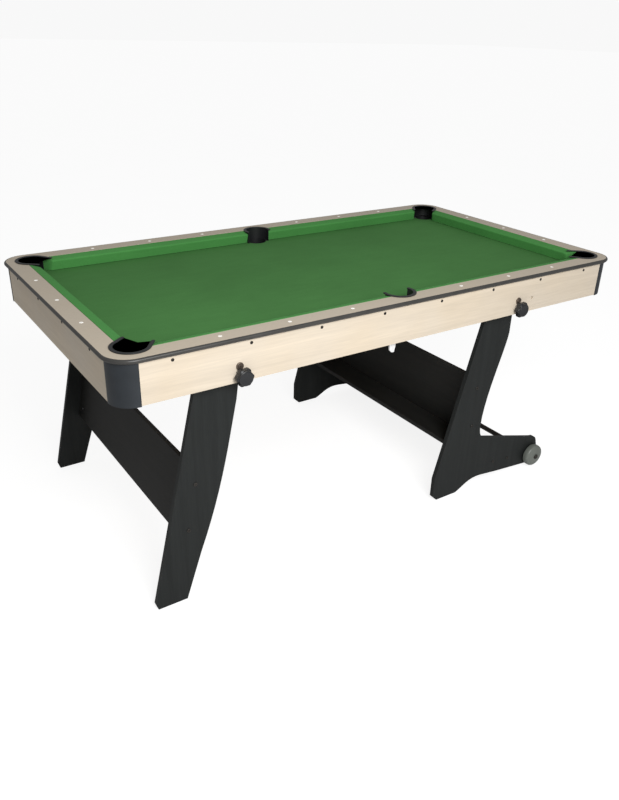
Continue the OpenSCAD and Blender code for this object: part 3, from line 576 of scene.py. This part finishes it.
def fixingTree():
    tree, size = startTree("fixings", {
        "head": None, "finish": None, "turn seed": 3, "largest turn": math.pi})
    points = add(tree, "GeometryNodeMeshToPoints", {"Mesh": size["Geometry"]}).outputs[0]
    facing = add(tree, "GeometryNodeInputNamedAttribute", {"Name": "facing"}, data_type="FLOAT_VECTOR")
    facing = facing.outputs[0]
    upright = add(tree, "FunctionNodeAlignRotationToVector", {"Vector": facing}, axis="Z").outputs[0]
    chance = add(tree, "FunctionNodeRandomValue", {"Seed": size["turn seed"]}, data_type="FLOAT")
    tree.links.new(size["largest turn"], chance.inputs[3])
    angle = chance.outputs[1]
    spin = add(tree, "FunctionNodeAxisAngleToRotation", {"Axis": (0, 0, 1), "Angle": angle}).outputs[0]
    both = add(tree, "FunctionNodeRotateRotation", {0: upright, 1: spin}, rotation_space="LOCAL").outputs[0]
    head = add(tree, "GeometryNodeObjectInfo", {"Object": size["head"]}).outputs["Geometry"]
    placed = add(tree, "GeometryNodeInstanceOnPoints", {
        "Points": points, "Instance": head, "Rotation": both})
    endTree(tree, placed.outputs[0], size["finish"])
    return tree


fixings = fixingTree()


def islandsOf(node):
    bm = mergedNode(node)
    left = set(bm.verts)
    found = []
    while left:
        stack = [left.pop()]
        island = []
        while stack:
            v = stack.pop()
            island.append(v.co.copy())
            for e in v.link_edges:
                w = e.other_vert(v)
                if w in left:
                    left.remove(w)
                    stack.append(w)
        low = Vector(min(c[k] for c in island) for k in range(3))
        high = Vector(max(c[k] for c in island) for k in range(3))
        found.append((low, high))
    bm.free()
    return sorted(found, key=lambda box: tuple(round(c, 4) for c in box[0]))


# A head on each of the node's fixings: on the outer end, on the end that faces the table's
# middle where inward is true, or on top where upward is true. Its top lies flush with that end.
def fixingPiece(node, head, height, finish, upward=False, inward=False):
    places = []
    facings = []
    for low, high in islandsOf(node):
        middle = (low + high) / 2
        size = high - low
        k = 2 if upward else max((0, 1), key=lambda axis: size[axis])
        out = 1 if upward or middle[k] > 0 else -1
        out = -out if inward else out
        middle[k] = (high[k] if out > 0 else low[k]) - out * height
        places.append(middle)
        facings.append(Vector((k == 0, k == 1, k == 2)) * out)
    seed = bpy.data.meshes.new(node + "_points")
    seed.from_pydata(places, [], [])
    layer = seed.attributes.new("facing", "FLOAT_VECTOR", "POINT")
    layer.data.foreach_set("vector", [c for f in facings for c in f])
    bpy.context.scene.collection.objects.link(head)
    piece = grow(node + "_heads", fixings, {"head": head, "finish": finish}, seed)
    bpy.context.scene.collection.objects.unlink(head)
    return settle(piece, finish, node)


fixingPiece("panel_screws", screwHead, topOf("panelScrew"), blackSteel)
fixingPiece("leg_screws_left", boltHead, topOf("legScrew"), blackSteel)
fixingPiece("leg_screws_right", boltHead, topOf("legScrew"), blackSteel)
fixingPiece("clip_screws", clipHead, topOf("clipScrew"), zinc, inward=True)
fixingPiece("pivot_bolts", capHead, topOf("pivotCap"), bronzeCap)
fixingPiece("rail_dots", dotHead, topOf("dot"), dotIvory, upward=True)
print("screws, caps and dots placed")

# Wheels: hollow behind, with a rounded tread and a domed outer face. Rings as above.
wheel = {
    "place": (0.697, 0.461, 0.049),
    "rings": [(5, 0), (11, 0), (11.6, 0.6), (12, 20.5), (29, 20.5), (29.6, 0.6), (30.4, 0), (37.5, 0),
              (40.2, 0.9), (41.6, 2.6), (42, 5), (42, 11), (41.8, 15), (41.2, 18), (39.8, 20.6),
              (37.6, 22.6), (34, 24.4), (28, 26.1), (21, 27.2), (14, 27.8), (9.8, 28), (9.4, 27.2),
              (5, 27.2)],
    "bolt": [(0, -28), (4, -28), (4, 0.2), (9, 0.2), (9, 2.2), (8.4, 2.9), (7, 3.2), (0, 3.2)],
    "spacer": [(4.2, 0), (8, 0), (8, 3.5), (4.2, 3.5)],
    "bolt head out": 0.0288,
    "spacer back": 0.457,
}
x, y, z = wheel["place"]
for side, s in sides.items():
    place = facingOut(x, s * y, z, s)
    piece = turned("wheel_" + side + "_moulded", scaled(wheel["rings"]), place, 64, closed=True)
    settle(piece, wheelPlastic, "wheel_" + side)
axleBolts = bmesh.new()
for s in sides.values():
    turn(axleBolts, scaled(wheel["bolt"]), facingOut(x, s * (y + wheel["bolt head out"]), z, s), 32)
    turn(axleBolts, scaled(wheel["spacer"]), facingOut(x, s * wheel["spacer back"], z, s), 32, closed=True)
bmesh.ops.recalc_face_normals(axleBolts, faces=axleBolts.faces)
settle(meshPiece("axle_bolts", axleBolts), blackSteel, "wheel_bolts")
print("wheels turned")

# Star knobs: six lobes, a raised round middle, and a hub and stud behind
knob = {
    "from pivot": (0.005822, -0.027388),
    "pivots": {"left": (-0.583, 0.717), "right": (0.454, 0.717)},
    "back": 0.4985,
    "hub": [(0, -50), (4, -50), (4, -5.9), (12, -5.9), (13, -5), (13, 1), (0, 1)],
    "star": [(0, 0, 0), (20, 0, 2), (25.3, 0.1, 4.4), (26.2, 0.9, 4.6), (26.5, 2.2, 4.7), (26.5, 11.6, 4.7),
             (26.2, 13.4, 4.6), (25.2, 14.8, 4.2), (23.6, 15.6, 2.9), (22.4, 16.0, 1.4), (21.6, 16.6, 0.3),
             (21.3, 17.6, 0), (20.8, 18.8, 0), (19.8, 19.6, 0), (18.2, 20, 0), (16, 19.8, 0), (12, 19.3, 0),
             (6, 18.9, 0), (0, 18.8, 0)],
}
for end in ends:
    for side, s in sides.items():
        x = knob["pivots"][end][0] + knob["from pivot"][0]
        z = knob["pivots"][end][1] + knob["from pivot"][1]
        place = facingOut(x, s * knob["back"], z, s)
        bm = bmesh.new()
        turn(bm, scaled(knob["hub"]), place, 40)
        turn(bm, scaled(knob["star"]), place, 120)
        bmesh.ops.recalc_face_normals(bm, faces=bm.faces)
        settle(meshPiece(f"knob_{end}_{side}_moulded", bm), knobPlastic, f"knob_{end}_{side}")
print("knobs made")

# Cushions: cloth over a rubber wedge. Points are (out from the rail, up) in millimetres.
cushion = {
    "base": 0.759,
    "section": [(0, 0), (12, 0), (23, 0), (24, 0.5), (25.5, 6), (27.5, 13), (29.5, 20.5), (31, 26.4),
                (31.7, 28.6), (32, 30.5), (31.7, 32.2), (30.9, 33.5), (29.6, 34.4), (27, 35.3),
                (22, 36.8), (16, 38.4), (10, 39.7), (5, 40.6), (2.4, 40.9), (1.5, 40.6), (1.1, 39.6),
                (0.5, 39.3), (0, 40)],
    "spacing": 0.012,
    "end round": 0.004,
    "end dip": 0.0012,
    "dips past": (20, 30),
    "wave": 0.00012,
}


def cushionPiece(node, rail, out, along, start, finish, startSlope, finishSlope):
    # rail: a point on the rail's edge. A slope is how far an end moves along for each unit out.
    bm = bmesh.new()
    length = finish - start
    count = max(8, round(length / cushion["spacing"]))
    soft = cushion["end round"]
    deep, tall = cushion["dips past"]
    stations = [0, 0.3 * soft, soft]
    stations += [soft + (length - 2 * soft) * k / count for k in range(1, count)]
    stations += [length - c for c in (soft, 0.3 * soft, 0)]
    loops = []
    for s in stations:
        near = min(s, length - s)
        dip = cushion["end dip"] * max(0, 1 - near / soft) ** 2
        share = s / length
        loop = []
        for d, h in cushion["section"]:
            depth = d / 1000 - dip * (d > deep)
            height = h / 1000 - dip * (h > tall)
            shift = (1 - share) * startSlope * depth + share * finishSlope * depth
            wave = cushion["wave"] * noise.noise(Vector((s * 9 + len(node), d * 0.08, 0)))
            point = Vector(rail) + Vector(out) * (depth + wave) + Vector(along) * (start + s + shift)
            point.z = cushion["base"] + height
            loop.append(bm.verts.new(point))
        loops.append(loop)
    n = len(cushion["section"])
    for a, b in zip(loops, loops[1:]):
        for k in range(n):
            bm.faces.new([a[k], a[k - n + 1], b[k - n + 1], b[k]])
    for loop in (loops[0], loops[-1]):
        bm.faces.new(loop)
    bmesh.ops.recalc_face_normals(bm, faces=bm.faces)
    piece = settle(meshPiece(node + "_covered", bm, 40), cushionCloth, node)
    return piece


def hornOf(node, axis, out, high):
    # Where the cushion's end meets the rail, and how it slopes outwards
    points = [v.co for v in cad[node].data.vertices]
    other = 1 - axis
    near = 0.0002
    edge = min(p[other] * out[other] for p in points)
    tip = max(p[other] * out[other] for p in points)
    pick = max if high else min
    atRail = pick(p[axis] for p in points if p[other] * out[other] < edge + near)
    atNose = pick(p[axis] for p in points if p[other] * out[other] > tip - near)
    return atRail, (atNose - atRail) / (tip - edge)


# Node, axis it runs along, a point on the rail's edge, and the way out from the rail
cushions = [
    ("cushion_front_left", 0, (0, -0.442, 0), (0, 1, 0)),
    ("cushion_front_right", 0, (0, -0.442, 0), (0, 1, 0)),
    ("cushion_back_left", 0, (0, 0.442, 0), (0, -1, 0)),
    ("cushion_back_right", 0, (0, 0.442, 0), (0, -1, 0)),
    ("cushion_left", 1, (-0.865, 0, 0), (1, 0, 0)),
    ("cushion_right", 1, (0.865, 0, 0), (-1, 0, 0)),
]
for node, axis, rail, out in cushions:
    along = (1, 0, 0) if axis == 0 else (0, 1, 0)
    start, startSlope = hornOf(node, axis, out, False)
    finish, finishSlope = hornOf(node, axis, out, True)
    cushionPiece(node, rail, out, along, start, finish, startSlope, finishSlope)
print("cushions covered")

# Bed cloth: one sheet stretched over the board, cut out at the pockets
bed = {"cell": 0.022, "unevenness": 0.00012, "lumps": 14, "pocket hole": 0.0368, "corner": 0.0465}
low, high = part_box("bed_cloth")
bm = mergedNode("bed_cloth")
for axis in (0, 1):
    count = round((high[axis] - low[axis]) / bed["cell"])
    for k in range(1, count):
        at = Vector((0, 0, 0))
        at[axis] = low[axis] + (high[axis] - low[axis]) * k / count
        cutNormal = Vector((axis == 0, axis == 1, 0))
        everything = bm.verts[:] + bm.edges[:] + bm.faces[:]
        bmesh.ops.bisect_plane(bm, geom=everything, plane_co=at, plane_no=cutNormal, dist=1e-6)
for v in bm.verts:
    if v.co.z > high.z - 0.0001:
        v.co.z -= bed["unevenness"] * (0.5 + 0.5 * noise.noise(v.co * bed["lumps"]))
bmesh.ops.triangulate(bm, faces=[f for f in bm.faces if len(f.verts) > 4])
bedPiece = settle(meshPiece("bed_cloth_stretched", bm), bedCloth, "bed_cloth")
print("bed cloth stretched")

# Pocket liners: the moulded horseshoe and its cup, with rounded rims
for place in ("left_front", "left_back", "right_front", "right_back", "middle_front", "middle_back"):
    easedPiece("pocket_" + place, easing["pocket"], pocketPlastic)
print("pockets lined")

# Pale floor, and a soft key lamp at the front left, so that the left end stays in shade
studio = {
    "floor half width": 60,
    "floor shade": 0.75,
    "floor glow": 0.86,
    "floor share": 0.3,
    "sky": 0.33,
    "backdrop": 0.94,
}
half = studio["floor half width"]
corners = [(-half, -half, 0), (half, -half, 0), (half, half, 0), (-half, half, 0)]
floorMesh = bpy.data.meshes.new("floor")
floorMesh.from_pydata(corners, [], [(0, 1, 2, 3)])
floor = bpy.data.objects.new("floor", floorMesh)
bpy.context.scene.collection.objects.link(floor)
floorPaint, floorTree, floorShader = startMaterial("floorPaint", (studio["floor shade"],) * 3, 0.9)
direct = add(floorTree, "ShaderNodeLightPath").outputs["Is Camera Ray"]
share = spread(floorTree, direct, 1.0, studio["floor share"] / studio["floor shade"])
paper = ramp(floorTree, speckle(floorTree, placeOf(floorTree), 2.0), 0.3, 0.7,
             (studio["floor shade"] - 0.01,) * 3, (studio["floor shade"] + 0.01,) * 3)
floorTree.links.new(blend(floorTree, 1.0, paper, share, "MULTIPLY"), floorShader.inputs["Base Color"])
floorShader.inputs["Emission Color"].default_value = (1, 1, 1, 1)
floorTree.links.new(times(floorTree, direct, studio["floor glow"]), floorShader.inputs["Emission Strength"])
floorShader.inputs["Specular IOR Level"].default_value = 0.0
floorMesh.materials.append(floorPaint)

world = bpy.data.worlds.new("studio")
world.use_nodes = True
sky = world.node_tree.nodes["Background"]
sky.inputs["Strength"].default_value = studio["sky"]
sky.inputs["Color"].default_value = (1, 1, 1, 1)
seen = add(world.node_tree, "ShaderNodeBackground", {
    "Strength": studio["backdrop"], "Color": (1, 1, 1, 1)})
direct = add(world.node_tree, "ShaderNodeLightPath").outputs["Is Camera Ray"]
both = add(world.node_tree, "ShaderNodeMixShader", {0: direct, 1: sky.outputs[0], 2: seen.outputs[0]})
world.node_tree.links.new(both.outputs[0], world.node_tree.nodes["World Output"].inputs["Surface"])
bpy.context.scene.world = world

lamp = {"from": (-0.7, -2.4, 2.0), "to": (0, 0, 0.7), "size": 1.2, "power": 59}
data = bpy.data.lights.new("key", "AREA")
data.size = lamp["size"]
data.energy = lamp["power"]
light = bpy.data.objects.new("key", data)
light.location = lamp["from"]
light.rotation_euler = (Vector(lamp["to"]) - Vector(lamp["from"])).to_track_quat("-Z", "Y").to_euler()
light.visible_camera = False
bpy.context.scene.collection.objects.link(light)
bpy.context.scene.view_settings.view_transform = "Standard"
print("studio lit")
